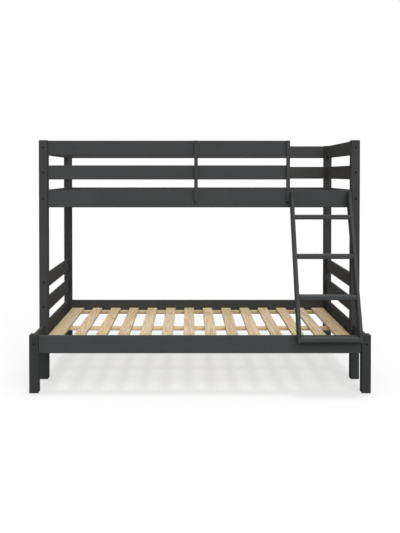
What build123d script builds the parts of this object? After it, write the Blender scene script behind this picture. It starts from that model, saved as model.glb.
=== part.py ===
from build123d import *
from collections import defaultdict
import math
import os

# A single bed above a wider bed, in painted timber, with a slanted ladder fixed at the right end of its
# open side. Every board is its own piece, held by bolts, screws and dowels.
# Millimetres. X runs along the bed, Y from the ladder to the back, Z up from the floor.

# Mattresses that the two decks take
mattress_length = 1900
upper_mattress_width = 900
lower_mattress_width = 1200
mattress_play = 7

# Posts and front legs
post_side = 54
post_height = 1480
leg_height = 340
post_edge = 3

# Boards that run along the bed
rail_thickness = 22
rail_setback = 13
upper_rail_height = 108
lower_rail_height = 103
lower_rail_drop = 7

# Boards that run across the ends, and the guard rails that share their heights
plank_thickness = 19
plank_height = 88
plank_gap = 64.5
end_rail_height = 108
top_margin = 3
leg_margin = 1
board_edge = 2

# Upright battens outside the front guard rails
batten_width = 22
batten_thickness = 20
batten_lap = 71
middle_batten_shift = -21

# Ladder
ladder_width = 372
ladder_gap = 1
ladder_side_room = 5
stile_thickness = 19
stile_width = 73
stile_top_nose = 45.2
stile_foot_reach = 63
stile_top_drop = 7
stile_foot_drop = 30
top_rung_drop = 42.5
rung_thickness = 27
rung_depth = 62
rung_nose = 1
rung_edge = 4
rung_housing = 6
rung_count = 4

# Slatted decks
slat_count = 14
slat_thickness = 16
slat_width = 70
end_slat_width = 90
slat_drop = 56
slat_end_gap = 2
slat_side_gap = 1
slat_spread = 0.65
slat_edge = 2
bearer_width = 45
bearer_height = 21
beam_width = 70
beam_shift = -25
bracket_thickness = 3
bracket_width = 56
bracket_seat = 40
bracket_upright = 32
bracket_gap = 0.5

# Fasteners: radii, lengths and how deep the heads sit. Their round forms are drawn with few sides
head_sides = 8
shank_sides = 6
fit = 0.2
tip_room = 2
bolt_radius = 3
bolt_head_radius = 6.5
bolt_head_height = 4
bolt_sink = 3
bolt_tail = 4
bolt_inset = 20
nut_radius = 5
nut_length = 14
rail_nut_distance = 45
dowel_radius = 4
dowel_length = 30
dowel_spacing = 54
screw_radius = 2.5
screw_head_radius = 5
screw_head_height = 3
plank_screw_length = 90
plank_screw_sink = 5
guard_screw_rise = 15
ladder_screw_length = 58
ladder_screw_sink = 2
ladder_foot_screw_drop = 7.5
ladder_top_screw_spacing = 34

# Overall sizes that follow
plank_setback = (post_side - plank_thickness) / 2
overall_length = mattress_length + mattress_play + 2 * (plank_thickness + plank_setback)
upper_depth = upper_mattress_width + mattress_play + 2 * (rail_thickness + rail_setback)
lower_depth = lower_mattress_width + mattress_play + 2 * (rail_thickness + rail_setback)
ladder_reach = stile_foot_reach - rail_setback
extension_length = lower_depth - upper_depth - post_side
end_nut_distance = extension_length / 7

# Lines along X
half_length = overall_length / 2
post_inner_x = half_length - post_side
post_x = half_length - post_side / 2
plank_inner_x = mattress_length / 2 + mattress_play / 2
ladder_right = post_inner_x - ladder_side_room
ladder_left = ladder_right - ladder_width
guard_end = ladder_left - ladder_gap

# Lines along Y: the ladder's nose and the back of the bed lie as far in front of zero as behind it
bed_back = (lower_depth + ladder_reach) / 2
lower_front = bed_back - lower_depth
upper_front = bed_back - upper_depth
rail_line = rail_setback + rail_thickness / 2

# Heights
plank_pitch = plank_height + plank_gap
upper_plank_tops = (post_height - top_margin, post_height - top_margin - plank_pitch)
upper_rail_top = upper_plank_tops[1] - plank_pitch
upper_rail_bottom = upper_rail_top - upper_rail_height
lower_rail_top = leg_height - lower_rail_drop
end_rail_top = leg_height - leg_margin
lower_plank_tops = (end_rail_top + 2 * plank_pitch, end_rail_top + plank_pitch)
end_rail_middle = end_rail_top - end_rail_height / 2
rung_pitch = (upper_rail_bottom - top_rung_drop - lower_rail_top) / (rung_count - 1)

# Screws as length and sink
plank_screw = (plank_screw_length, plank_screw_sink)
ladder_screw = (ladder_screw_length, ladder_screw_sink)

pieces = {}
cuts = defaultdict(list)
fasteners = defaultdict(list)
sides = ((-1, "left"), (1, "right"))


def timber(x, y, z, along=None, edge=board_edge):
    """A board between the given limits, with its long edges eased, or all of them."""
    board = Pos(x[0], y[0], z[0]) * Box(x[1] - x[0], y[1] - y[0], z[1] - z[0], align=Align.MIN)
    return chamfer(board.edges().filter_by(along) if along else board.edges(), edge)


def about(middle, size):
    """The two limits of a size laid evenly about a middle."""
    return (middle - size / 2, middle + size / 2)


def mirrored(side, low, high):
    """Limits along X for the left or the right of the bed."""
    return (low, high) if side > 0 else (-high, -low)


def rod(start, way, radius, length, side_count=shank_sides):
    """A bar from a point, along a direction."""
    outline = Plane(origin=start, z_dir=way) * RegularPolygon(radius, side_count)
    return extrude(outline, length, dir=way)


def ahead(start, way, distance):
    """The point that lies a distance from another, along a direction."""
    return tuple(s + w * distance for s, w in zip(start, way))


# Fixings: each one adds its own solid and cuts its hole in the boards that it holds

def drive_screw(group, start, way, kind, boards):
    length, sink = kind
    seat = ahead(start, way, sink)
    neck = ahead(seat, way, screw_head_height)
    head = rod(seat, way, screw_head_radius, screw_head_height, head_sides)
    fasteners[group].append(head + rod(neck, way, screw_radius, length))
    cuts[boards[0]].append(rod(start, way, screw_head_radius + fit, sink + screw_head_height, head_sides))
    bore = rod(neck, way, screw_radius + fit, length + tip_room)
    for board in boards:
        cuts[board].append(bore)


def push_dowel(group, middle, way, boards):
    half = dowel_length / 2
    fasteners[group].append(rod(ahead(middle, way, -half), way, dowel_radius, dowel_length))
    bore = rod(ahead(middle, way, -half - tip_room), way, dowel_radius + fit, dowel_length + 2 * tip_room)
    for board in boards:
        cuts[board].append(bore)


def seat_nut(middle, way, depth, boards):
    """A barrel nut across a bolt: way points from the nut to the face that its hole opens on."""
    half = nut_length / 2
    nut = rod(ahead(middle, way, -half), way, nut_radius, nut_length)
    across = (way[1], way[0], 0)
    thread = rod(ahead(middle, across, -nut_radius - fit), across, bolt_radius + fit, 2 * (nut_radius + fit))
    fasteners["barrel_nuts"].append(nut - thread)
    hole = rod(ahead(middle, way, -half), way, nut_radius + fit, half + depth)
    for board in boards:
        cuts[board].append(hole)


def draw_bolt(group, start, way, run, boards):
    """A bolt whose head sinks into the first board and whose tail passes a barrel nut at the given run."""
    seat = ahead(start, way, bolt_sink)
    neck = ahead(seat, way, bolt_head_height)
    length = run - bolt_sink - bolt_head_height + bolt_tail
    head = rod(seat, way, bolt_head_radius, bolt_head_height, head_sides)
    fasteners[group].append(head + rod(neck, way, bolt_radius, length))
    cuts[boards[0]].append(rod(start, way, bolt_head_radius + fit, bolt_sink + bolt_head_height, head_sides))
    for board in boards:
        cuts[board].append(rod(neck, way, bolt_radius + fit, length))


# Boards

def make_posts():
    for side, name in sides:
        x = mirrored(side, post_inner_x, half_length)
        front = (upper_front, upper_front + post_side)
        back = (bed_back - post_side, bed_back)
        foot = (lower_front, lower_front + post_side)
        pieces["front_post_" + name] = timber(x, front, (0, post_height), edge=post_edge)
        pieces["rear_post_" + name] = timber(x, back, (0, post_height), edge=post_edge)
        pieces["front_leg_" + name] = timber(x, foot, (0, leg_height), edge=post_edge)


def rail_limits(face, toward_back):
    """Limits along Y of a rail set back from an outer face of the bed."""
    low = face + rail_setback if toward_back else face - rail_setback - rail_thickness
    return (low, low + rail_thickness)


def make_side_rails():
    span = (-post_inner_x, post_inner_x)
    upper = (upper_rail_bottom, upper_rail_top)
    lower = (lower_rail_top - lower_rail_height, lower_rail_top)
    pieces["upper_side_rail_front"] = timber(span, rail_limits(upper_front, True), upper, Axis.X)
    pieces["upper_side_rail_rear"] = timber(span, rail_limits(bed_back, False), upper, Axis.X)
    pieces["lower_side_rail_front"] = timber(span, rail_limits(lower_front, True), lower, Axis.X)
    pieces["lower_side_rail_rear"] = timber(span, rail_limits(bed_back, False), lower, Axis.X)


def make_guard():
    for top, level in zip(upper_plank_tops, ("top", "middle")):
        z = (top - plank_height, top)
        front = rail_limits(upper_front, True)
        rear = rail_limits(bed_back, False)
        pieces["guard_rail_" + level + "_front"] = timber((-post_inner_x, guard_end), front, z, Axis.X)
        pieces["guard_rail_" + level + "_rear"] = timber((-post_inner_x, post_inner_x), rear, z, Axis.X)
    face = upper_front + rail_setback
    y = (face - batten_thickness, face)
    z = (upper_rail_top - batten_lap, upper_plank_tops[0])
    places = {"guard_batten_ladder": guard_end - batten_width / 2, "guard_batten_middle": middle_batten_shift}
    for node, x in places.items():
        pieces[node] = timber(about(x, batten_width), y, z, Axis.Z)


def make_ends():
    for side, name in sides:
        x = mirrored(side, plank_inner_x, plank_inner_x + plank_thickness)
        upper = (upper_front + post_side, bed_back - post_side)
        for top, level in zip(upper_plank_tops, ("top", "middle")):
            pieces[f"upper_end_plank_{level}_{name}"] = timber(x, upper, (top - plank_height, top), Axis.Y)
        for top, level in zip(lower_plank_tops, ("top", "middle")):
            pieces[f"lower_end_plank_{level}_{name}"] = timber(x, upper, (top - plank_height, top), Axis.Y)
        high = (upper_rail_bottom, upper_rail_bottom + end_rail_height)
        low = (end_rail_top - end_rail_height, end_rail_top)
        pieces["upper_end_rail_" + name] = timber(x, upper, high, Axis.Y)
        pieces["lower_end_rail_" + name] = timber(x, upper, low, Axis.Y)
        short = (lower_front + post_side, upper_front)
        pieces["extension_rail_" + name] = timber(x, short, low, Axis.Y)


def slat_places():
    """The middle and the width of each slat along X. All gaps but the last are a little wider than even ones."""
    reach = post_inner_x - slat_end_gap
    inner_count = slat_count - 2
    gap = (2 * (reach - end_slat_width) - inner_count * slat_width) / (slat_count - 1) + slat_spread
    places = [(-reach + end_slat_width / 2, end_slat_width)]
    for k in range(inner_count):
        left = -reach + end_slat_width + gap + k * (slat_width + gap)
        places.append((left + slat_width / 2, slat_width))
    places.append((reach - end_slat_width / 2, end_slat_width))
    return places


def slat(x, y, z):
    """A slat with its two upper long edges eased."""
    board = Pos(x[0], y[0], z[0]) * Box(x[1] - x[0], y[1] - y[0], z[1] - z[0], align=Align.MIN)
    return chamfer(board.edges().filter_by(Axis.Y).sort_by(Axis.Z)[-2:], slat_edge)


def make_deck(name, front, rail_top):
    """Slats on two bearers, between the inner faces of a deck's side rails."""
    near = front + rail_setback + rail_thickness
    far = bed_back - rail_setback - rail_thickness
    slat_top = rail_top - slat_drop
    slat_bottom = slat_top - slat_thickness
    y = (near + slat_side_gap, far - slat_side_gap)
    z = (slat_bottom, slat_top)
    pieces[name + "_slats"] = [slat(about(x, width), y, z) for x, width in slat_places()]
    reach = post_inner_x - slat_end_gap
    low = (slat_bottom - bearer_height, slat_bottom)
    pieces[name + "_bearer_front"] = timber((-reach, reach), (near, near + bearer_width), low, Axis.X)
    pieces[name + "_bearer_rear"] = timber((-reach, reach), (far - bearer_width, far), low, Axis.X)


def make_centre_beam():
    """The flat beam under the lower slats, a little before their middle, and the brackets that hold its ends."""
    near = lower_front + rail_setback + rail_thickness
    far = bed_back - rail_setback - rail_thickness
    middle = (near + far) / 2 + beam_shift
    slat_top = lower_rail_top - slat_drop
    beam_top = slat_top - slat_thickness
    beam_bottom = beam_top - slat_thickness
    end = plank_inner_x - bracket_thickness - bracket_gap
    pieces["lower_centre_beam"] = timber((-end, end), about(middle, beam_width), (beam_bottom, beam_top), Axis.X)
    brackets = []
    for side, _ in sides:
        seat = mirrored(side, plank_inner_x - bracket_seat, plank_inner_x)
        upright = mirrored(side, plank_inner_x - bracket_thickness, plank_inner_x)
        low = beam_bottom - bracket_thickness
        y = about(middle, bracket_width)
        flat = Pos(seat[0], y[0], low) * Box(bracket_seat, bracket_width, bracket_thickness, align=Align.MIN)
        tall = Pos(upright[0], y[0], low) * Box(bracket_thickness, bracket_width, bracket_upright, align=Align.MIN)
        brackets.append(flat + tall)
    pieces["beam_brackets"] = brackets


# Ladder: its back edge leans on the lower front edge of the upper rail and the top edge of the lower one

ladder_top_face = upper_front + rail_setback
ladder_foot_face = lower_front + rail_setback
lean = (ladder_top_face - ladder_foot_face) / (upper_rail_bottom - lower_rail_top)
stile_level_width = stile_width * math.sqrt(1 + lean * lean)
stile_foot = lower_rail_top - stile_foot_drop
stile_top = upper_rail_top - stile_top_drop


def stile_back(z):
    return ladder_foot_face + (z - lower_rail_top) * lean


def stile_front(z):
    return stile_back(z) - stile_level_width


def height_where_front_is(y):
    return lower_rail_top + (y + stile_level_width - ladder_foot_face) / lean


def rung_limits(k):
    """Limits along Y and Z of a rung, counted from the lowest."""
    top = lower_rail_top + k * rung_pitch
    nose = max(stile_front(top), ladder_foot_face - stile_foot_reach) + rung_nose
    return (nose, nose + rung_depth), (top - rung_thickness, top)


def make_ladder():
    top_nose = stile_front(stile_top - stile_top_nose)
    foot_nose = ladder_foot_face - stile_foot_reach
    outline = [
        (ladder_foot_face, stile_foot),
        (ladder_foot_face, lower_rail_top),
        (ladder_top_face, upper_rail_bottom),
        (ladder_top_face, stile_top),
        (top_nose, stile_top),
        (top_nose, stile_top - stile_top_nose),
        (foot_nose, height_where_front_is(foot_nose)),
        (foot_nose, stile_foot),
    ]
    inner_left = ladder_left + stile_thickness
    inner_right = ladder_right - stile_thickness
    for k in range(rung_count):
        y, z = rung_limits(k)
        x = (inner_left - rung_housing, inner_right + rung_housing)
        pieces[f"ladder_rung_{k + 1}"] = timber(x, y, z, Axis.X, rung_edge)
    for start, name, inner in ((ladder_left, "left", inner_left), (inner_right, "right", inner_right)):
        node = "ladder_stile_" + name
        face = Plane.YZ.offset(start) * make_face(Polyline(*outline, close=True))
        stile = extrude(face, stile_thickness)
        pieces[node] = chamfer(stile.edges().filter_by(Axis.X, reverse=True), board_edge)
        for k in range(rung_count):
            y, z = rung_limits(k)
            x = about(inner, 2 * (rung_housing + fit))
            cuts[node].append(timber(x, (y[0] - fit, y[1] + fit), (z[0] - fit, z[1] + fit), Axis.X, rung_edge))
        x = start + stile_thickness / 2
        toward = (0, -1, 0)
        for z in about((upper_rail_bottom + upper_rail_top) / 2, ladder_top_screw_spacing):
            at = (x, ladder_top_face + rail_thickness, z)
            drive_screw("ladder_screws", at, toward, ladder_screw, ("upper_side_rail_front", node))
        at = (x, ladder_foot_face + rail_thickness, lower_rail_top - ladder_foot_screw_drop)
        drive_screw("ladder_screws", at, toward, ladder_screw, ("lower_side_rail_front", node))


# Fixings of the frame

def fix_side_rails():
    rails = (
        ("upper_side_rail_front", "front_post_", upper_front + rail_line, 1, upper_rail_bottom, upper_rail_top),
        ("upper_side_rail_rear", "rear_post_", bed_back - rail_line, -1, upper_rail_bottom, upper_rail_top),
        ("lower_side_rail_front", "front_leg_", lower_front + rail_line, 1,
         lower_rail_top - lower_rail_height, lower_rail_top),
        ("lower_side_rail_rear", "rear_post_", bed_back - rail_line, -1,
         lower_rail_top - lower_rail_height, lower_rail_top),
    )
    for rail, post, y, inward, bottom, top in rails:
        for side, name in sides:
            way = (-side, 0, 0)
            boards = (post + name, rail)
            for z in (bottom + bolt_inset, top - bolt_inset):
                draw_bolt("rail_bolts", (side * half_length, y, z), way, post_side + rail_nut_distance, boards)
                nut = (side * (post_inner_x - rail_nut_distance), y, z)
                seat_nut(nut, (0, inward, 0), rail_thickness / 2, (rail,))


def fix_guard_rails():
    """Screws along the bed, raised so that they pass over those of the end planks inside the posts."""
    for top, level in zip(upper_plank_tops, ("top", "middle")):
        middle = top - plank_height / 2
        ends = (
            (-1, "left", "front", upper_front + rail_line),
            (-1, "left", "rear", bed_back - rail_line),
            (1, "right", "rear", bed_back - rail_line),
        )
        for side, name, face, y in ends:
            boards = (f"{face}_post_{name}", f"guard_rail_{level}_{face}")
            start = (side * half_length, y, middle + guard_screw_rise)
            fix_plank(*boards, start, (-side, 0, 0), 1)


def fix_plank(post, plank, start, way, dowel_count):
    """A screw through a post into the middle of a plank's end, with a dowel below it or on both sides."""
    drive_screw("plank_screws", start, way, plank_screw, (post, plank))
    fix_dowels(ahead(start, way, post_side), way, (post, plank), dowel_count)


def fix_dowels(joint, way, boards, dowel_count=2):
    for z in about(joint[2], dowel_spacing)[:dowel_count]:
        push_dowel("dowels", (joint[0], joint[1], z), way, boards)


def fix_ends():
    planks = {
        "upper_end_plank_top_": (upper_plank_tops[0] - plank_height / 2, 1),
        "upper_end_plank_middle_": (upper_plank_tops[1] - plank_height / 2, 1),
        "upper_end_rail_": (upper_rail_bottom + end_rail_height / 2, 2),
        "lower_end_plank_top_": (lower_plank_tops[0] - plank_height / 2, 1),
        "lower_end_plank_middle_": (lower_plank_tops[1] - plank_height / 2, 1),
        "lower_end_rail_": (end_rail_middle, 2),
    }
    for side, name in sides:
        x = side * post_x
        for plank, (z, dowel_count) in planks.items():
            if plank != "lower_end_rail_":
                fix_plank("front_post_" + name, plank + name, (x, upper_front, z), (0, 1, 0), dowel_count)
            fix_plank("rear_post_" + name, plank + name, (x, bed_back, z), (0, -1, 0), dowel_count)
        fix_extension(side, name, x)


def fix_extension(side, name, x):
    """The extension rail: a bolt through the leg, and a stud through the post to the end rail behind it."""
    short = "extension_rail_" + name
    end_rail = "lower_end_rail_" + name
    leg = "front_leg_" + name
    post = "front_post_" + name
    z = end_rail_middle
    back = (0, 1, 0)
    inward = (-side, 0, 0)
    draw_bolt("leg_bolts", (x, lower_front, z), back, post_side + end_nut_distance, (leg, short))
    seat_nut((x, lower_front + post_side + end_nut_distance, z), inward, plank_thickness / 2, (short,))
    stud_start = upper_front - end_nut_distance - bolt_tail
    stud_length = post_side + 2 * (end_nut_distance + bolt_tail)
    fasteners["tie_studs"].append(rod((x, stud_start, z), back, bolt_radius, stud_length))
    bore = rod((x, stud_start, z), back, bolt_radius + fit, stud_length)
    for board in (short, post, end_rail):
        cuts[board].append(bore)
    seat_nut((x, upper_front - end_nut_distance, z), inward, plank_thickness / 2, (short,))
    seat_nut((x, upper_front + post_side + end_nut_distance, z), inward, plank_thickness / 2, (end_rail,))
    fix_dowels((x, lower_front + post_side, z), back, (leg, short))
    fix_dowels((x, upper_front, z), back, (short, post))
    fix_dowels((x, upper_front + post_side, z), back, (post, end_rail))


def boxes_meet(solid, tool):
    a, b = solid.bounding_box(), tool.bounding_box()
    return all(
        a_low <= b_high and b_low <= a_high
        for a_low, a_high, b_low, b_high in zip(a.min, a.max, b.min, b.max)
    )


def bored(node, solid):
    tools = [tool for tool in cuts[node] if boxes_meet(solid, tool)]
    return solid - tools if tools else solid


def write(node, solids):
    shape = Compound(children=[part for solid in solids for part in solid.solids()])
    export_step(shape if len(shape.solids()) > 1 else shape.solids()[0], os.path.join("parts", node + ".step"))


make_posts()
make_side_rails()
make_guard()
make_ends()
make_deck("lower", lower_front, lower_rail_top)
make_deck("upper", upper_front, upper_rail_top)
make_centre_beam()
make_ladder()
fix_side_rails()
fix_guard_rails()
fix_ends()

os.makedirs("parts", exist_ok=True)
for node, made in pieces.items():
    solids = made if isinstance(made, list) else [made]
    write(node, [bored(node, solid) for solid in solids])
for node, made in fasteners.items():
    write(node, made)
print("nodes", len(pieces) + len(fasteners), "length", overall_length, "depth", lower_depth + ladder_reach)
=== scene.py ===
import math

import bpy
from mathutils import Matrix, Vector


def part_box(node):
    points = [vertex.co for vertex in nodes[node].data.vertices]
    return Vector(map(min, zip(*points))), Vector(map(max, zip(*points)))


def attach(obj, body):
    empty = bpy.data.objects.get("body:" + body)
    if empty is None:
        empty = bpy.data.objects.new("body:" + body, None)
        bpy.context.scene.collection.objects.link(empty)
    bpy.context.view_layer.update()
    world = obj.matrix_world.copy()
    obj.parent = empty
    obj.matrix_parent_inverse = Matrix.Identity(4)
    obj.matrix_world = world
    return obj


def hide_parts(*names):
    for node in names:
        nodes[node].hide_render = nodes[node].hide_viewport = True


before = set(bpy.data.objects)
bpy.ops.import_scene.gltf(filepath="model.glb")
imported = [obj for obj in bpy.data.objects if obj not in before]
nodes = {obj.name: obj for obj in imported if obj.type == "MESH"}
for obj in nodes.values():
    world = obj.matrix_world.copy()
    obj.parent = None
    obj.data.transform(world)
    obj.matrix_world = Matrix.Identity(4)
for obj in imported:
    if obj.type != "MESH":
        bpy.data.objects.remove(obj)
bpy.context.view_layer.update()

bedMiddleY = 0.025


# Small helpers for working by operator

def deselectAll():
    if bpy.context.object and bpy.context.object.mode != "OBJECT":
        bpy.ops.object.mode_set(mode="OBJECT")
    bpy.ops.object.select_all(action="DESELECT")


def makeActive(piece):
    deselectAll()
    piece.select_set(True)
    bpy.context.view_layer.objects.active = piece


def editAll(piece, mode="VERT"):
    makeActive(piece)
    bpy.ops.object.mode_set(mode="EDIT")
    bpy.ops.mesh.select_mode(type=mode)
    bpy.ops.mesh.select_all(action="SELECT")


# the new primitive, with its place, turn and scale taken into its mesh
def placedPrimitive():
    bpy.ops.object.transform_apply(location=True, rotation=True, scale=True)
    return bpy.context.object


def joinAll(pieces, name):
    deselectAll()
    for piece in pieces:
        piece.select_set(True)
    bpy.context.view_layer.objects.active = pieces[0]
    if len(pieces) > 1:
        bpy.ops.object.join()
    joined = bpy.context.object
    joined.name = name
    joined.data.name = name
    return joined


def setMaterial(piece, material):
    piece.data.materials.clear()
    piece.data.materials.append(material)


def keepPiece(piece, material, replaced=()):
    setMaterial(piece, material)
    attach(piece, "root")
    if replaced:
        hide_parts(*replaced)


# Node building for the materials

def startMaterial(name):
    material = bpy.data.materials.new(name)
    material.use_nodes = True
    tree = material.node_tree
    tree.nodes.clear()
    output = tree.nodes.new("ShaderNodeOutputMaterial")
    surface = tree.nodes.new("ShaderNodeBsdfPrincipled")
    tree.links.new(surface.outputs["BSDF"], output.inputs["Surface"])
    return material, tree, surface


def addNode(tree, kind, values=None, links=None, **settings):
    node = tree.nodes.new(kind)
    for key, value in settings.items():
        setattr(node, key, value)
    for key, value in (values or {}).items():
        node.inputs[key].default_value = value
    for key, (source, socket) in (links or {}).items():
        tree.links.new(source.outputs[socket], node.inputs[key])
    return node


# each of the three items is a number, a node or an output socket
def mathNode(tree, operation, first, second=None, third=None):
    node = tree.nodes.new("ShaderNodeMath")
    node.operation = operation
    for index, item in enumerate((first, second, third)):
        if isinstance(item, (int, float)):
            node.inputs[index].default_value = item
        elif item is not None:
            tree.links.new(getattr(item, "outputs", [item])[0], node.inputs[index])
    return node


def objectPoints(tree, scale=(1, 1, 1), turn=(0, 0, 0)):
    place = addNode(tree, "ShaderNodeTexCoord")
    turned = addNode(tree, "ShaderNodeMapping", {"Rotation": turn}, {"Vector": (place, "Object")})
    return addNode(tree, "ShaderNodeMapping", {"Scale": scale}, {"Vector": (turned, "Vector")})


def noiseNode(tree, points, scale, detail=3.0, roughness=0.5):
    values = {"Scale": scale, "Detail": detail, "Roughness": roughness}
    return addNode(tree, "ShaderNodeTexNoise", values, {"Vector": (points, 0)})


def rampNode(tree, source, socket, stops):
    node = addNode(tree, "ShaderNodeValToRGB", links={"Fac": (source, socket)})
    elements = node.color_ramp.elements
    while len(elements) < len(stops):
        elements.new(0.5)
    for element, (place, color) in zip(elements, stops):
        element.position = place
        element.color = (*color, 1)
    return node


# first and second are sockets or colours, factor a socket or a number
def blendColors(tree, blend, factor, first, second):
    node = addNode(tree, "ShaderNodeMix", data_type="RGBA", blend_type=blend)
    for index, item in ((0, factor), (6, first), (7, second)):
        if isinstance(item, tuple):
            node.inputs[index].default_value = (*item, 1)
        elif isinstance(item, (int, float)):
            node.inputs[index].default_value = item
        else:
            tree.links.new(item, node.inputs[index])
    return node.outputs[2]


# Charcoal paint: satin, with the pine's grain just showing through

charcoalPaint = {
    "dark": (0.0480, 0.0493, 0.0503),
    "light": (0.0577, 0.0593, 0.0605),
    "grainScale": 260.0,
    "grainAlong": 0.03,
    "grainDetail": (6.0, 0.6),
    "cloudScale": 4.0,
    "cloudDetail": 2.0,
    "cloudShare": 0.4,
    "tonePlaces": (0.36, 0.64),
    "roughness": (0.66, 0.76),
    "specular": 0.03,
    "grainBump": 0.16,
    "grainDepth": 0.0004,
}


# tone scales the paint's two colours, which makes lit and shaded copies of the one paint: painted light and
# painted shade
def makePaint(name, axis, turn=(0, 0, 0), tone=1.0):
    values = charcoalPaint
    scale = tuple(values["grainAlong"] if letter == axis else 1 for letter in "XYZ")
    dark, light = (tuple(part * tone for part in values[end]) for end in ("dark", "light"))
    material, tree, surface = startMaterial(name)
    lengthwise = objectPoints(tree, scale, turn)
    grain = noiseNode(tree, lengthwise, values["grainScale"], *values["grainDetail"])
    cloud = noiseNode(tree, objectPoints(tree), values["cloudScale"], values["cloudDetail"])
    share = values["cloudShare"]
    shade = mathNode(tree, "MULTIPLY_ADD", cloud, share, mathNode(tree, "MULTIPLY", grain, 1 - share))
    coat = rampNode(tree, shade, "Value", list(zip(values["tonePlaces"], (dark, light))))
    tree.links.new(coat.outputs["Color"], surface.inputs["Base Color"])
    low, high = values["roughness"]
    rough = addNode(tree, "ShaderNodeMapRange", {"To Min": low, "To Max": high},
                    {"Value": (grain, "Fac")})
    tree.links.new(rough.outputs["Result"], surface.inputs["Roughness"])
    surface.inputs["Specular IOR Level"].default_value = values["specular"]
    bump = addNode(tree, "ShaderNodeBump",
                   {"Strength": values["grainBump"], "Distance": values["grainDepth"]},
                   {"Height": (grain, "Fac")})
    tree.links.new(bump.outputs["Normal"], surface.inputs["Normal"])
    return material


# Natural pine: growth rings about a heart that lies under each board, fibres, stains and a few knots

naturalPine = {
    "early": (0.695, 0.585, 0.395),
    "middle": (0.630, 0.502, 0.310),
    "late": (0.490, 0.350, 0.185),
    "warm": (0.665, 0.500, 0.285),
    "knot": (0.200, 0.095, 0.038),
    "ringScale": 46.0,
    "ringWander": 3.5,
    "ringDetail": (2.5, 0.45, 0.55),
    "ringPlaces": (0.0, 0.45, 0.78, 0.93, 1.0),
    "heartTilt": 0.05,
    "heartDepth": 0.06,
    "heartShift": 0.07,
    "deckHeight": 0.277,
    "deckRise": 0.839,
    "decksPerMetre": 1.4,
    "slatStart": 0.81104,
    "slatPitch": 0.13588,
    "bearersPerMetre": 2.0,
    "bearerStart": 0.2,
    "alongShare": 0.16,
    "alongShift": 5.0,
    "fibreScale": 190.0,
    "fibreDetail": (6.0, 0.7),
    "fibreAlong": 0.2,
    "fibreTones": [(0.38, (0.62, 0.56, 0.49)), (0.56, (1.0, 1.0, 1.0))],
    "fibreShare": 0.75,
    "fibreBump": 0.3,
    "fibreDepth": 0.0003,
    "stainScale": 11.0,
    "stainTones": [(0.42, (0.0, 0.0, 0.0)), (0.68, (0.7, 0.7, 0.7))],
    "knotScale": 6.5,
    "knotAlong": 0.7,
    "knotShift": 9.0,
    "knotTones": [(0.015, (1.0, 1.0, 1.0)), (0.05, (0.55, 0.55, 0.55)), (0.085, (0.12, 0.12, 0.12)),
                  (0.13, (0.0, 0.0, 0.0))],
    "boardTones": [(0.0, (0.90, 0.87, 0.83)), (0.35, (1.0, 0.98, 0.95)), (0.7, (1.0, 1.0, 1.0)),
                   (1.0, (1.0, 0.94, 0.86))],
    "roughness": 0.62,
    "specular": 0.3,
}


# which board a point is on, counted across the deck, and how far it lies from that board's middle line
def boardCount(tree, across, slats):
    values = naturalPine
    if not slats:
        steps = mathNode(tree, "MULTIPLY_ADD", across, values["bearersPerMetre"], values["bearerStart"])
        return mathNode(tree, "FLOOR", steps), across
    moved = mathNode(tree, "ADD", across, values["slatStart"])
    steps = mathNode(tree, "DIVIDE", moved, values["slatPitch"])
    fromMiddle = mathNode(tree, "SUBTRACT", mathNode(tree, "FRACT", steps), 0.5)
    return mathNode(tree, "FLOOR", steps), mathNode(tree, "MULTIPLY", fromMiddle, values["slatPitch"])


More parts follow.
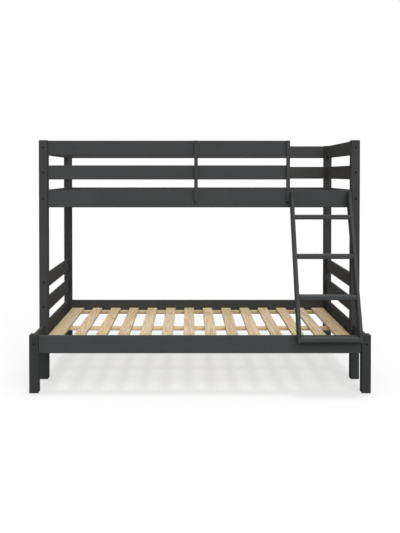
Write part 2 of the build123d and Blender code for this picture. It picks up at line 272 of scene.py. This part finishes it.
def makePine(name, axis):
    values = naturalPine
    material, tree, surface = startMaterial(name)
    place = addNode(tree, "ShaderNodeTexCoord")
    split = addNode(tree, "ShaderNodeSeparateXYZ", links={"Vector": (place, "Object")})
    up, along = split.outputs["Z"], split.outputs[axis]
    across = split.outputs["X" if axis == "Y" else "Y"]
    count, offset = boardCount(tree, across, axis == "Y")
    # every board draws its own chance numbers from its place
    level = mathNode(tree, "FLOOR", mathNode(tree, "MULTIPLY", up, values["decksPerMetre"]))
    boardKey = addNode(tree, "ShaderNodeCombineXYZ", links={"X": (count, 0), "Y": (level, 0)})
    chance = addNode(tree, "ShaderNodeTexWhiteNoise", links={"Vector": (boardKey, "Vector")},
                     noise_dimensions="2D")
    chances = addNode(tree, "ShaderNodeSeparateColor", links={"Color": (chance, "Color")})
    red, green, blue = (chances.outputs[part] for part in ("Red", "Green", "Blue"))
    # the heart of the tree runs slightly askew below the board
    aside = mathNode(tree, "SUBTRACT", red, 0.5)
    sideways = mathNode(tree, "MULTIPLY_ADD", aside, values["heartShift"], offset)
    tilt = mathNode(tree, "MULTIPLY", mathNode(tree, "SUBTRACT", blue, 0.5), values["heartTilt"])
    tilted = mathNode(tree, "MULTIPLY_ADD", along, tilt, values["heartDepth"])
    sunk = mathNode(tree, "MULTIPLY_ADD", green, values["heartDepth"], tilted)
    lowered = mathNode(tree, "MULTIPLY_ADD", level, -values["deckRise"], up)
    depth = mathNode(tree, "ADD", mathNode(tree, "SUBTRACT", lowered, values["deckHeight"]), sunk)
    stretched = mathNode(tree, "MULTIPLY", along, values["alongShare"])
    far = mathNode(tree, "MULTIPLY_ADD", blue, values["alongShift"], stretched)
    trunk = addNode(tree, "ShaderNodeCombineXYZ",
                    links={"X": (sideways, 0), "Y": (depth, 0), "Z": (far, 0)})
    detail, detailScale, detailRoughness = values["ringDetail"]
    rings = addNode(tree, "ShaderNodeTexWave",
                    {"Scale": values["ringScale"], "Distortion": values["ringWander"], "Detail": detail,
                     "Detail Scale": detailScale, "Detail Roughness": detailRoughness},
                    {"Vector": (trunk, "Vector")},
                    wave_type="RINGS", rings_direction="Z", wave_profile="SAW")
    ringColors = [values[part] for part in ("early", "early", "middle", "late", "middle")]
    wood = rampNode(tree, rings, "Fac", list(zip(values["ringPlaces"], ringColors)))
    fibreAlong = mathNode(tree, "MULTIPLY", far, values["fibreAlong"])
    fibrePlace = addNode(tree, "ShaderNodeCombineXYZ",
                         links={"X": (sideways, 0), "Y": (depth, 0), "Z": (fibreAlong, 0)})
    fibres = noiseNode(tree, fibrePlace, values["fibreScale"], *values["fibreDetail"])
    fibreTone = rampNode(tree, fibres, "Fac", values["fibreTones"])
    stain = noiseNode(tree, trunk, values["stainScale"])
    stained = rampNode(tree, stain, "Fac", values["stainTones"])
    color = blendColors(tree, "MIX", stained.outputs["Color"], wood.outputs["Color"], values["warm"])
    color = blendColors(tree, "MULTIPLY", values["fibreShare"], color, fibreTone.outputs["Color"])
    knotStretch = mathNode(tree, "MULTIPLY", along, values["knotAlong"])
    knotAlong = mathNode(tree, "MULTIPLY_ADD", blue, values["knotShift"], knotStretch)
    knotPlace = addNode(tree, "ShaderNodeCombineXYZ",
                        links={"X": (sideways, 0), "Y": (depth, 0), "Z": (knotAlong, 0)})
    cells = addNode(tree, "ShaderNodeTexVoronoi", {"Scale": values["knotScale"]},
                    {"Vector": (knotPlace, "Vector")})
    knots = rampNode(tree, cells, "Distance", values["knotTones"])
    color = blendColors(tree, "MIX", knots.outputs["Color"], color, values["knot"])
    boardTone = rampNode(tree, chance, "Value", values["boardTones"])
    color = blendColors(tree, "MULTIPLY", 1.0, color, boardTone.outputs["Color"])
    tree.links.new(color, surface.inputs["Base Color"])
    surface.inputs["Roughness"].default_value = values["roughness"]
    surface.inputs["Specular IOR Level"].default_value = values["specular"]
    bump = addNode(tree, "ShaderNodeBump",
                   {"Strength": values["fibreBump"], "Distance": values["fibreDepth"]},
                   {"Height": (fibres, "Fac")})
    tree.links.new(bump.outputs["Normal"], surface.inputs["Normal"])
    return material


# Metal of the fasteners and brackets, a little blotchy and unevenly smooth

metalWear = {"grainScale": 1400.0, "grainDetail": 4.0, "patchScale": 180.0, "patchPlaces": (0.35, 0.65),
             "patchShade": 0.82}


def makeMetal(name, color, roughness, unevenness, metallic):
    values = metalWear
    material, tree, surface = startMaterial(name)
    grain = noiseNode(tree, objectPoints(tree), values["grainScale"], values["grainDetail"])
    rough = addNode(tree, "ShaderNodeMapRange",
                    {"To Min": roughness - unevenness, "To Max": roughness + unevenness},
                    {"Value": (grain, "Fac")})
    tree.links.new(rough.outputs["Result"], surface.inputs["Roughness"])
    patch = noiseNode(tree, objectPoints(tree), values["patchScale"])
    darker = tuple(values["patchShade"] * part for part in color)
    tint = rampNode(tree, patch, "Fac", list(zip(values["patchPlaces"], (darker, color))))
    tree.links.new(tint.outputs["Color"], surface.inputs["Base Color"])
    surface.inputs["Metallic"].default_value = metallic
    return material


rawBeech = {"fleckScale": 900.0, "fleckDetail": 4.0, "fleckStretch": (1, 1, 0.3), "roughness": 0.62,
            "tones": [(0.35, (0.46, 0.29, 0.15)), (0.62, (0.64, 0.45, 0.28))]}


def makeBeech(name):
    values = rawBeech
    material, tree, surface = startMaterial(name)
    flecks = noiseNode(tree, objectPoints(tree, values["fleckStretch"]), values["fleckScale"],
                       values["fleckDetail"])
    tint = rampNode(tree, flecks, "Fac", values["tones"])
    tree.links.new(tint.outputs["Color"], surface.inputs["Base Color"])
    surface.inputs["Roughness"].default_value = values["roughness"]
    return material


ladderRise, ladderRun = 0.731, 0.300
ladderLean = math.atan2(ladderRun, ladderRise)
# the rails and rungs take a lighter copy of the paint, painted light; the posts take a darker copy and the
# legs a much darker one, painted shade that is deepest on the legs down by the floor
paintRailsLit = makePaint("charcoal_rails_lit", "X", tone=1.06)
paintEnds = makePaint("charcoal_ends", "Y")
paintBattens = makePaint("charcoal_battens", "Z")
paintPostsShaded = makePaint("charcoal_posts_shaded", "Z", tone=0.94)
paintLegsShaded = makePaint("charcoal_legs_shaded", "Z", tone=0.73)
paintStiles = makePaint("charcoal_stiles", "Z", (ladderLean, 0, 0))
pineSlats = makePine("pine_slats", "Y")
pineBearers = makePine("pine_bearers", "X")
blackSteel = makeMetal("black_steel", (0.008, 0.008, 0.009), roughness=0.56, unevenness=0.08,
                       metallic=0.5)
zincSteel = makeMetal("zinc_steel", (0.60, 0.60, 0.59), roughness=0.36, unevenness=0.08, metallic=1.0)
blackZinc = makeMetal("black_zinc_steel", (0.035, 0.035, 0.037), roughness=0.50, unevenness=0.06,
                      metallic=0.8)
beech = makeBeech("beech_dowels")
print("materials made")


def boardMaterial(name):
    if name.endswith("_slats"):
        return pineSlats
    if "bearer" in name or "centre_beam" in name:
        return pineBearers
    if "stile" in name:
        return paintStiles
    if "side_rail" in name or "guard_rail" in name or "rung" in name:
        return paintRailsLit
    if "plank" in name or "end_rail" in name or "extension" in name:
        return paintEnds
    if "post" in name:
        return paintPostsShaded
    return paintLegsShaded if "leg_" in name else paintBattens


fastenerNodes = ("plank_screws", "ladder_screws", "rail_bolts", "leg_bolts", "tie_studs", "barrel_nuts",
                 "dowels")
boardNames = [name for name in nodes if name not in fastenerNodes and name != "beam_brackets"]
holedNames = [name for name in boardNames if "post" in name or "leg_" in name or "side_rail" in name
              or "extension" in name or "lower_end_rail" in name]
plainNames = [name for name in boardNames if name not in holedNames]

# Fasteners as the frame holds them: where each head is, which way it runs and how long it is

headReach = {"near": 0.002, "alike": 0.0005}


# the points of each separate solid of a node
def looseParts(name):
    mesh = nodes[name].data
    parent = {}

    def root(key):
        while parent[key] != key:
            parent[key] = parent[parent[key]]
            key = parent[key]
        return key

    keys = []
    for vertex in mesh.vertices:
        key = tuple(round(part, 6) for part in vertex.co)
        keys.append(key)
        parent.setdefault(key, key)
    for face in mesh.polygons:
        first = root(keys[face.vertices[0]])
        for index in face.vertices[1:]:
            parent[root(keys[index])] = first
    groups = {}
    for key in parent:
        groups.setdefault(root(key), []).append(Vector(key))
    return [groups[key] for key in sorted(groups)]


def inwardWay(middle, axis):
    way = Vector((0, 0, 0))
    way[axis] = -math.copysign(1, middle[axis] - (bedMiddleY if axis == 1 else 0))
    return way


# head end, direction away from it, and length of one fastener
def layOf(points):
    low = Vector([min(point[i] for point in points) for i in range(3)])
    high = Vector([max(point[i] for point in points) for i in range(3)])
    middle = (low + high) / 2
    axis = max(range(3), key=lambda i: high[i] - low[i])
    length = high[axis] - low[axis]
    lowHead, highHead = middle.copy(), middle.copy()
    lowHead[axis], highHead[axis] = low[axis], high[axis]

    def widthNear(end):
        near = [point for point in points if abs(point[axis] - end[axis]) < headReach["near"]]
        return max((point - end).length for point in near)

    way = Vector((0, 0, 0))
    if abs(widthNear(lowHead) - widthNear(highHead)) < headReach["alike"]:
        way = -inwardWay(middle, axis)      # ends alike: the one toward the bed's middle counts as head
        head = lowHead if way[axis] > 0 else highHead
    else:
        head = lowHead if widthNear(lowHead) > widthNear(highHead) else highHead
        way[axis] = 1 if head is lowHead else -1
    return {"head": head, "way": way, "length": length, "axis": axis, "middle": middle}


lays = {name: [layOf(points) for points in looseParts(name)] for name in fastenerNodes}
print("fasteners found", {name: len(found) for name, found in lays.items()})


# Turned parts: a profile of (radius, height) drawn by extruding one vertex, then spun

weldReach = 0.00001


def turned(name, profile, sides):
    deselectAll()
    bpy.ops.mesh.primitive_plane_add(size=0.01, location=(0, 0, 0))
    piece = bpy.context.object
    piece.name = name
    bpy.ops.object.mode_set(mode="EDIT")
    bpy.ops.mesh.select_mode(type="VERT")
    bpy.ops.mesh.select_all(action="SELECT")
    bpy.ops.mesh.merge(type="CENTER")
    bpy.ops.mesh.select_all(action="SELECT")
    bpy.ops.transform.translate(value=(profile[0][0], 0, profile[0][1]))
    for (radius, height), (nextRadius, nextHeight) in zip(profile, profile[1:]):
        step = (nextRadius - radius, 0, nextHeight - height)
        bpy.ops.mesh.extrude_region_move(TRANSFORM_OT_translate={"value": step})
    bpy.ops.mesh.select_all(action="SELECT")
    bpy.ops.mesh.spin(steps=sides, angle=2 * math.pi, center=(0, 0, 0), axis=(0, 0, 1))
    bpy.ops.mesh.select_all(action="SELECT")
    bpy.ops.mesh.remove_doubles(threshold=weldReach)
    bpy.ops.mesh.normals_make_consistent(inside=False)
    bpy.ops.object.mode_set(mode="OBJECT")
    return piece


# where the crest of each ridge starts and ends, as shares of the pitch
crestShares = (0.45, 0.6)


# profile points of a thread drawn as rings
def ridges(outer, inner, start, end, pitch):
    points = []
    height = start
    while height - pitch > end:
        points += [(inner, height)] + [(outer, height - pitch * share) for share in crestShares]
        height -= pitch
    return points + [(inner, height)]


def cutWith(piece, tool):
    makeActive(piece)
    cut = piece.modifiers.new("cut", "BOOLEAN")
    cut.operation = "DIFFERENCE"
    cut.solver = "EXACT"
    cut.object = tool
    bpy.ops.object.modifier_apply(modifier=cut.name)
    bpy.data.objects.remove(tool, do_unlink=True)


def hexSocket(piece, acrossCorners, depth):
    deselectAll()
    bpy.ops.mesh.primitive_cylinder_add(vertices=6, radius=acrossCorners / 2, depth=2 * depth,
                                        location=(0, 0, 0))
    cutWith(piece, bpy.context.object)


def crossRecess(piece, length, width, depth):
    tools = []
    for size in ((length, width), (width, length)):
        deselectAll()
        bpy.ops.mesh.primitive_cube_add(size=1, location=(0, 0, 0), scale=(*size, 2 * depth))
        tools.append(placedPrimitive())
    for tool in tools:
        cutWith(piece, tool)


def smoothTurned(piece, degrees=35):
    makeActive(piece)
    bpy.ops.object.shade_smooth_by_angle(angle=math.radians(degrees))


# one copy of the master at each spot: its top at the head, its body along the way
def spread(master, name, spots):
    copies = []
    for head, way in spots:
        copy = master.copy()
        copy.data = master.data.copy()
        bpy.context.scene.collection.objects.link(copy)
        turn = (-way).to_track_quat("Z", "Y").to_matrix().to_4x4()
        copy.data.transform(Matrix.Translation(head) @ turn)
        copies.append(copy)
    bpy.data.objects.remove(master, do_unlink=True)
    return joinAll(copies, name)


def spotsOf(name):
    return [(lay["head"], lay["way"]) for lay in lays[name]]


# Long screws with a hexagon socket: black ones through the posts, zinc plated ones into the ladder

plankScrew = {"head": 0.0049, "headHeight": 0.003,
              "headRound": [(-0.0007, 0), (-0.0002, -0.0003), (0, -0.0009)],
              "under": 0.0008, "neck": 0.0006, "shank": 0.0024, "core": 0.0018, "pitch": 0.0032,
              "threadLength": 0.052, "tip": 0.006, "tipEnd": 0.002, "tipShare": 0.55, "socket": 0.0046,
              "socketDepth": 0.002, "sides": 16}


# the middle of a head's top and its rounded rim
def headTop(values):
    return [(0, 0)] + [(values["head"] + inset, height) for inset, height in values["headRound"]]


def makeLongScrew(name, values, length):
    shank, core, under = values["shank"], values["core"], values["under"]
    base = -values["headHeight"]
    profile = headTop(values)
    profile += [(values["head"], base + under), (shank + under, base), (shank, base - values["neck"])]
    threadStart = -length + values["threadLength"]
    profile += ridges(shank, core, threadStart, -length + values["tip"], values["pitch"])
    profile += [(core * values["tipShare"], -length + values["tipEnd"]), (0, -length)]
    piece = turned(name, profile, values["sides"])
    hexSocket(piece, values["socket"], values["socketDepth"])
    smoothTurned(piece)
    return piece


def addLongScrews(node, name, values, material):
    master = makeLongScrew(name + "_master", values, lays[node][0]["length"])
    keepPiece(spread(master, name, spotsOf(node)), material, [node])


addLongScrews("plank_screws", "plank_screws_detailed", plankScrew, blackSteel)
ladderScrew = dict(plankScrew, threadLength=0.034)
addLongScrews("ladder_screws", "ladder_screws_detailed", ladderScrew, zincSteel)

# Furniture bolts: flat round head with a hexagon socket, machine thread at the far end

railBolt = {"head": 0.0064, "headHeight": 0.004,
            "headRound": [(-0.0012, 0), (-0.0004, -0.0004), (0, -0.0013)],
            "under": 0.0004, "shank": 0.0029, "core": 0.0025, "pitch": 0.0018, "threadLength": 0.03,
            "tip": 0.002, "tipRound": 0.0006, "tipInset": 0.0005, "socket": 0.0058, "socketDepth": 0.0026,
            "sides": 20}


def makeBolt(name, values, length):
    head, shank, core, under = values["head"], values["shank"], values["core"], values["under"]
    base = -values["headHeight"]
    profile = headTop(values) + [(head, base + under), (head - under, base), (shank, base)]
    threadStart = -length + values["threadLength"]
    profile += ridges(shank, core, threadStart, -length + values["tip"], values["pitch"])
    profile += [(core, -length + values["tipRound"]), (core - values["tipInset"], -length), (0, -length)]
    piece = turned(name, profile, values["sides"])
    hexSocket(piece, values["socket"], values["socketDepth"])
    smoothTurned(piece)
    return piece


for boltNode in ("rail_bolts", "leg_bolts"):
    boltMaster = makeBolt(boltNode + "_master", railBolt, lays[boltNode][0]["length"])
    bolts = spread(boltMaster, boltNode + "_detailed", spotsOf(boltNode))
    keepPiece(bolts, blackSteel, [boltNode])

# Threaded studs that tie the extension rails to the end rails

tieStud = {"outer": 0.0029, "core": 0.0024, "pitch": 0.0022, "endInset": 0.0004, "endRound": 0.0008,
           "farEnd": 0.001, "sides": 14}


def makeStud(values, length):
    outer, core = values["outer"], values["core"]
    endRadius = core - values["endInset"]
    profile = [(0, 0), (endRadius, 0)]
    profile += ridges(outer, core, -values["endRound"], -length + values["farEnd"], values["pitch"])
    profile += [(endRadius, -length), (0, -length)]
    piece = turned("tie_stud_master", profile, values["sides"])
    smoothTurned(piece)
    return piece


studMaster = makeStud(tieStud, lays["tie_studs"][0]["length"])
studs = spread(studMaster, "tie_studs_detailed", spotsOf("tie_studs"))
keepPiece(studs, zincSteel, ["tie_studs"])

# Barrel nuts: a slot in the visible end and a cross hole for the bolt

barrelNut = {"radius": 0.0049, "length": 0.014, "edge": 0.0006, "hole": 0.003, "holeSides": 14,
             "slotWidth": 0.0014, "slotDepth": 0.0018, "sides": 20}


# profile of a rod with both ends eased
def easedRod(radius, length, edge):
    return [(0, 0), (radius - edge, 0), (radius, -edge), (radius, -length + edge), (radius - edge, -length),
            (0, -length)]


def makeBarrelNut(values):
    radius, length = values["radius"], values["length"]
    piece = turned("barrel_nut_master", easedRod(radius, length, values["edge"]), values["sides"])
    deselectAll()
    bpy.ops.mesh.primitive_cylinder_add(vertices=values["holeSides"], radius=values["hole"],
                                        depth=4 * radius, location=(0, 0, -length / 2),
                                        rotation=(0, math.pi / 2, 0))
    cutWith(piece, placedPrimitive())
    deselectAll()
    bpy.ops.mesh.primitive_cube_add(size=1, location=(0, 0, 0),
                                    scale=(4 * radius, values["slotWidth"], 2 * values["slotDepth"]))
    cutWith(piece, placedPrimitive())
    smoothTurned(piece)
    return piece


barrelNuts = spread(makeBarrelNut(barrelNut), "barrel_nuts_detailed", spotsOf("barrel_nuts"))
keepPiece(barrelNuts, blackSteel, ["barrel_nuts"])

# Fluted dowels with tapered ends

dowelPin = {"radius": 0.004, "flute": 0.0004, "taper": 0.0012, "length": 0.03, "sides": 24}


def makeDowel(values):
    radius, sides = values["radius"], values["sides"]
    piece = turned("dowel_master", easedRod(radius, values["length"], values["taper"]), sides)
    factor = (radius - values["flute"]) / radius
    for vertex in piece.data.vertices:      # every other line of vertices sinks to make a flute
        spoke = round(math.atan2(vertex.co.y, vertex.co.x) / (2 * math.pi / sides))
        if spoke % 2 and math.hypot(vertex.co.x, vertex.co.y) > radius - weldReach:
            vertex.co.x *= factor
            vertex.co.y *= factor
    return piece


dowels = spread(makeDowel(dowelPin), "dowels_fluted", spotsOf("dowels"))
keepPiece(dowels, beech, ["dowels"])
print("fasteners made")

# Boards with holes that show: the holes are drilled round and the edges softened

# under "heads": radius, how deep the head sits, how far the hole runs on beside it
holes = {"heads": {"plank_screws": (0.0063, 0.005, 0.005), "ladder_screws": (0.0054, 0.002, 0.0032),
                   "rail_bolts": (0.0069, 0.003, 0.0042), "leg_bolts": (0.0069, 0.003, 0.0042)},
         "nutRadius": 0.0054, "nutReach": 0.0073, "halfRail": 0.011, "halfPlank": 0.0095, "sides": 24,
         "past": 0.001, "boardRoom": 0.002}
# "flat" and "sharp" are angles in degrees
edges = {"weld": 0.00002, "flat": 0.5, "sharp": 28, "segments": 2, "drilled": 0.0009, "plain": 0.001,
         "slats": 0.0006, "bracket": 0.0007, "outerReach": 0.0032, "faceReach": 0.0001,
         "rimReach": 0.00005}


# radius, start, direction and length of every round hole that shows
def listDrills():
    found = []
    for name, (radius, sink, deep) in holes["heads"].items():
        for lay in lays[name]:
            start = lay["head"] - lay["way"] * (sink + holes["past"])
            found.append((radius, start, lay["way"], sink + holes["past"] + deep))
    for lay in lays["barrel_nuts"]:
        inward = -lay["way"]
        toFace = holes["halfRail"] if lay["axis"] == 1 else holes["halfPlank"]
        start = lay["middle"] - inward * holes["nutReach"]
        found.append((holes["nutRadius"], start, inward, holes["nutReach"] + toFace + holes["past"]))
    return found


drills = listDrills()


def makeDrill(radius, start, way, length):
    deselectAll()
    bpy.ops.mesh.primitive_cylinder_add(vertices=holes["sides"], radius=radius, depth=length,
                                        location=start + way * length / 2,
                                        rotation=way.to_track_quat("Z", "Y").to_euler())
    return placedPrimitive()


def offAxis(point, start, way):
    reach = point - start
    return (reach - way * reach.dot(way)).length


# the board's frame mesh as a piece of its own, without the lines across its flat faces
def cleanCopy(name):
    mesh = nodes[name].data.copy()
    mesh.name = name + "_drilled"
    mesh.transform(nodes[name].matrix_world)
    board = bpy.data.objects.new(mesh.name, mesh)
    bpy.context.scene.collection.objects.link(board)
    editAll(board)
    bpy.ops.mesh.remove_doubles(threshold=weldReach)
    bpy.ops.mesh.dissolve_limited(angle_limit=math.radians(edges["flat"]))
    bpy.ops.object.mode_set(mode="OBJECT")
    return board


def drillsIn(low, high):
    room = holes["boardRoom"]
    found = []
    for radius, start, way, length in drills:
        middle = start + way * length / 2
        if all(low[i] - room < middle[i] < high[i] + room for i in range(3)):
            found.append((radius, start, way, length))
    return found


# for each edge of the mesh: is it a sharp one, on the board's outside or round a hole
def listSoftEdges(mesh, low, high, here):
    def limitsNear(point, reach):
        return sum(min(point[i] - low[i], high[i] - point[i]) < reach for i in range(3))

    def onRim(point):
        return limitsNear(point, edges["faceReach"]) >= 1 and any(
            abs(offAxis(point, start, way) - radius) < edges["rimReach"]
            for radius, start, way, length in here)

    outer = [limitsNear(vertex.co, edges["outerReach"]) >= 2 for vertex in mesh.vertices]
    rim = [onRim(vertex.co) for vertex in mesh.vertices]
    return [edge.select and any(all(kind[end] for end in edge.vertices) for kind in (outer, rim))
            for edge in mesh.edges]


def drillBoard(name):
    low, high = (Vector(corner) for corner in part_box(name))
    board = cleanCopy(name)
    here = drillsIn(low, high)
    cutWith(board, joinAll([makeDrill(*drill) for drill in here], "drill"))
    editAll(board, "EDGE")
    bpy.ops.mesh.select_all(action="DESELECT")
    bpy.ops.mesh.edges_select_sharp(sharpness=math.radians(edges["sharp"]))
    bpy.ops.object.mode_set(mode="OBJECT")
    mesh = board.data
    chosen = listSoftEdges(mesh, low, high, here)
    for items in (mesh.vertices, mesh.polygons):
        for item in items:
            item.select = False
    for edge, keep in zip(mesh.edges, chosen):
        edge.select = keep
    makeActive(board)
    bpy.ops.object.mode_set(mode="EDIT")
    bpy.ops.mesh.select_mode(type="EDGE")
    bpy.ops.mesh.bevel(offset=edges["drilled"], segments=edges["segments"], clamp_overlap=False)
    bpy.ops.object.mode_set(mode="OBJECT")
    keepPiece(board, boardMaterial(name), [name])
    return len(here)


drilled = {name: drillBoard(name) for name in holedNames}
print("boards drilled", drilled)

# The other boards and the brackets keep their frame shape, with softened edges

def softenEdges(piece, width, flatten=True):
    weld = piece.modifiers.new("weld", "WELD")
    weld.merge_threshold = edges["weld"]
    if flatten:
        flat = piece.modifiers.new("flat", "DECIMATE")
        flat.decimate_type = "DISSOLVE"
        flat.angle_limit = math.radians(edges["flat"])
    soft = piece.modifiers.new("soft", "BEVEL")
    soft.width = width
    soft.segments = edges["segments"]
    soft.limit_method = "ANGLE"
    soft.angle_limit = math.radians(edges["sharp"])
    soft.use_clamp_overlap = False


for name in plainNames:
    setMaterial(nodes[name], boardMaterial(name))
    softenEdges(nodes[name], edges["slats" if name.endswith("_slats") else "plain"])
setMaterial(nodes["beam_brackets"], blackZinc)
softenEdges(nodes["beam_brackets"], edges["bracket"], flatten=False)
print("edges softened", len(plainNames))

# Small countersunk screws with a cross recess

smallScrew = {"head": 0.0038, "topShare": 0.8, "proud": 0.0004, "rim": 0.0006, "cone": 0.0024,
              "shank": 0.0017, "tip": 0.003, "sides": 12, "recess": 0.0042, "recessWidth": 0.0009,
              "recessDepth": 0.0012}


def makeSmallScrew(name, length):
    values = smallScrew
    head, rim, shank = values["head"], values["rim"], values["shank"]
    profile = [(0, 0), (head * values["topShare"], 0), (head, -rim), (shank, -rim - values["cone"]),
               (shank, -length + values["tip"]), (0, -length)]
    piece = turned(name, profile, values["sides"])
    crossRecess(piece, values["recess"], values["recessWidth"], values["recessDepth"])
    smoothTurned(piece)
    return piece


# places: the point on the board's face and the way that the screw goes in
def addSmallScrews(name, places, length, material):
    lift = smallScrew["proud"]
    spots = [(Vector(point) - Vector(way) * lift, Vector(way)) for point, way in places]
    keepPiece(spread(makeSmallScrew(name + "_master", length), name, spots), material)


def middleOf(name, axis):
    low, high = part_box(name)
    return (low[axis] + high[axis]) / 2


# two screws side by side where a slat is wide
slatScrews = {"length": 0.03, "wideSlat": 0.08, "shift": 0.02}


def slatScrewPlaces():
    places = []
    for deck in ("lower", "upper"):
        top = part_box(deck + "_slats")[1][2]
        lines = [middleOf(f"{deck}_bearer_{side}", 1) for side in ("front", "rear")]
        for points in looseParts(deck + "_slats"):
            left = min(point.x for point in points)
            right = max(point.x for point in points)
            wide = right - left > slatScrews["wideSlat"]
            shifts = (-slatScrews["shift"], slatScrews["shift"]) if wide else (0,)
            for y in lines:
                places += [(((left + right) / 2 + shift, y, top), (0, 0, -1)) for shift in shifts]
    return places


bearerScrews = {"length": 0.055, "along": (-0.82, -0.49, -0.16, 0.16, 0.49, 0.82)}


def bearerScrewPlaces():
    places = []
    for deck in ("lower", "upper"):
        for side, way in (("front", -1), ("rear", 1)):
            name = f"{deck}_bearer_{side}"
            low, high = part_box(name)
            y = high[1] if way < 0 else low[1]
            places += [((x, y, middleOf(name, 2)), (0, way, 0)) for x in bearerScrews["along"]]
    return places


battenScrews = {"length": 0.036}


def battenScrewPlaces():
    places = []
    inward = (0, -1, 0)
    for batten in ("guard_batten_ladder", "guard_batten_middle"):
        x, foot = middleOf(batten, 0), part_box(batten)[0][2]
        for rail in ("guard_rail_top_front", "guard_rail_middle_front"):
            places.append(((x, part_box(rail)[1][1], middleOf(rail, 2)), inward))
        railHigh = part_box("upper_side_rail_front")[1]
        places.append(((x, railHigh[1], (foot + railHigh[2]) / 2), inward))
    return places


rungScrews = {"length": 0.045, "shift": 0.014}


def rungScrewPlaces():
    places = []
    for side, way in (("left", 1), ("right", -1)):
        low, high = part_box("ladder_stile_" + side)
        x = low[0] if way > 0 else high[0]
        for rung in (f"ladder_rung_{step}" for step in range(1, 5)):
            y, z = middleOf(rung, 1), middleOf(rung, 2)
            shifts = (-rungScrews["shift"], rungScrews["shift"])
            places += [((x, y + shift, z), (way, 0, 0)) for shift in shifts]
    return places


# "inset" leads from a bracket's outer end to its upright face, "reach" from there to the lower screws
bracketScrews = {"length": 0.014, "inset": 0.003, "reach": 0.022, "drop": 0.007, "shift": 0.018}


def bracketScrewPlaces():
    values = bracketScrews
    low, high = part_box("beam_brackets")
    inner = abs(low[0]) - values["inset"]
    under = inner - values["reach"]
    lines = [middleOf("beam_brackets", 1) + shift for shift in (-values["shift"], values["shift"])]
    places = []
    for side in (-1, 1):
        places += [((side * inner, y, high[2] - values["drop"]), (side, 0, 0)) for y in lines]
        places += [((side * under, y, low[2]), (0, 0, 1)) for y in lines]
    return places


addSmallScrews("slat_screws", slatScrewPlaces(), slatScrews["length"], zincSteel)
addSmallScrews("bearer_screws", bearerScrewPlaces(), bearerScrews["length"], zincSteel)
addSmallScrews("batten_screws", battenScrewPlaces(), battenScrews["length"], blackSteel)
addSmallScrews("rung_screws", rungScrewPlaces(), rungScrews["length"], blackSteel)
addSmallScrews("bracket_screws", bracketScrewPlaces(), bracketScrews["length"], blackZinc)
print("small screws made")

# Floor, light and camera

studio = {"floorSize": 80.0, "floorHeight": -0.0005, "floorColor": 0.255, "worldLight": 0.50,
          "openFloor": 1.015}
# far, soft lamps: level is the light on a surface that faces one, and shine says whether gloss shows it
lamps = {
    "front": {"place": (0.9, -4.6, 3.0), "softness": 50, "level": 0.70, "shine": True},
    "overhead": {"place": (0.1, 0.6, 5.0), "softness": 20, "level": 0.66, "shine": True},
    "rear": {"place": (0.0, 4.8, 1.0), "softness": 40, "level": 0.12, "shine": False},
}


# the light that reaches the open floor
def floorLight():
    level = studio["worldLight"]
    for values in lamps.values():
        level += values["level"] * Vector(values["place"]).normalized().z
    return level


# 1 for the rays that see the white background, 0 for those that light the bed
def whiteRays(tree):
    ray = addNode(tree, "ShaderNodeLightPath")
    seen = mathNode(tree, "MAXIMUM", ray.outputs["Is Camera Ray"], ray.outputs["Is Glossy Ray"])
    return mathNode(tree, "MAXIMUM", seen, ray.outputs["Is Transmission Ray"])


def makeFloor():
    values = studio
    deselectAll()
    bpy.ops.mesh.primitive_plane_add(size=values["floorSize"], location=(0, 0, values["floorHeight"]))
    floor = bpy.context.object
    floor.name = "floor"
    material, tree, surface = startMaterial("studio_floor")
    color = values["floorColor"]
    surface.inputs["Base Color"].default_value = (color, color, color, 1)
    surface.inputs["Roughness"].default_value = 1.0
    surface.inputs["Specular IOR Level"].default_value = 0.0
    surface.inputs["Emission Color"].default_value = (1, 1, 1, 1)
    # the glow, for the eye alone, makes up what the floor's light lacks to white: only its shadow shows
    glow = mathNode(tree, "MULTIPLY", whiteRays(tree), values["openFloor"] - color * floorLight())
    tree.links.new(glow.outputs[0], surface.inputs["Emission Strength"])
    floor.data.materials.append(material)


def makeWorld():
    world = bpy.data.worlds.new("studio")
    bpy.context.scene.world = world
    world.use_nodes = True
    tree = world.node_tree
    tree.nodes.clear()
    output = tree.nodes.new("ShaderNodeOutputWorld")
    level = addNode(tree, "ShaderNodeMapRange", {"To Min": studio["worldLight"], "To Max": 1.0},
                    {"Value": (whiteRays(tree), 0)})
    background = addNode(tree, "ShaderNodeBackground", {"Color": (1, 1, 1, 1)},
                         {"Strength": (level, "Result")})
    tree.links.new(background.outputs["Background"], output.inputs["Surface"])


def makeLamps():
    for name, values in lamps.items():
        light = bpy.data.lights.new(name, "SUN")
        light.energy = values["level"] * math.pi
        light.angle = math.radians(values["softness"])
        lamp = bpy.data.objects.new(name, light)
        bpy.context.scene.collection.objects.link(lamp)
        lamp.location = values["place"]
        lamp.visible_glossy = values["shine"]
        lamp.rotation_euler = (-Vector(values["place"])).to_track_quat("-Z", "Y").to_euler()


# focal length and shift in picture points, of which the picture is "points" high
viewCamera = {"place": (-0.061, -4.9285, 1.268), "down": 1.035, "sensor": 36, "points": 533,
              "focal": 749, "shift": (10.5, -78.5)}


def makeCamera():
    values = viewCamera
    data = bpy.data.cameras.new("view")
    data.sensor_width = values["sensor"]
    data.lens = values["focal"] / values["points"] * values["sensor"]
    data.shift_x, data.shift_y = (part / values["points"] for part in values["shift"])
    camera = bpy.data.objects.new("view", data)
    bpy.context.scene.collection.objects.link(camera)
    camera.location = values["place"]
    camera.rotation_euler = (math.radians(90 - values["down"]), 0, 0)
    bpy.context.scene.camera = camera


makeFloor()
makeWorld()
makeLamps()
makeCamera()
bpy.context.scene.view_settings.view_transform = "Standard"
print("studio set")
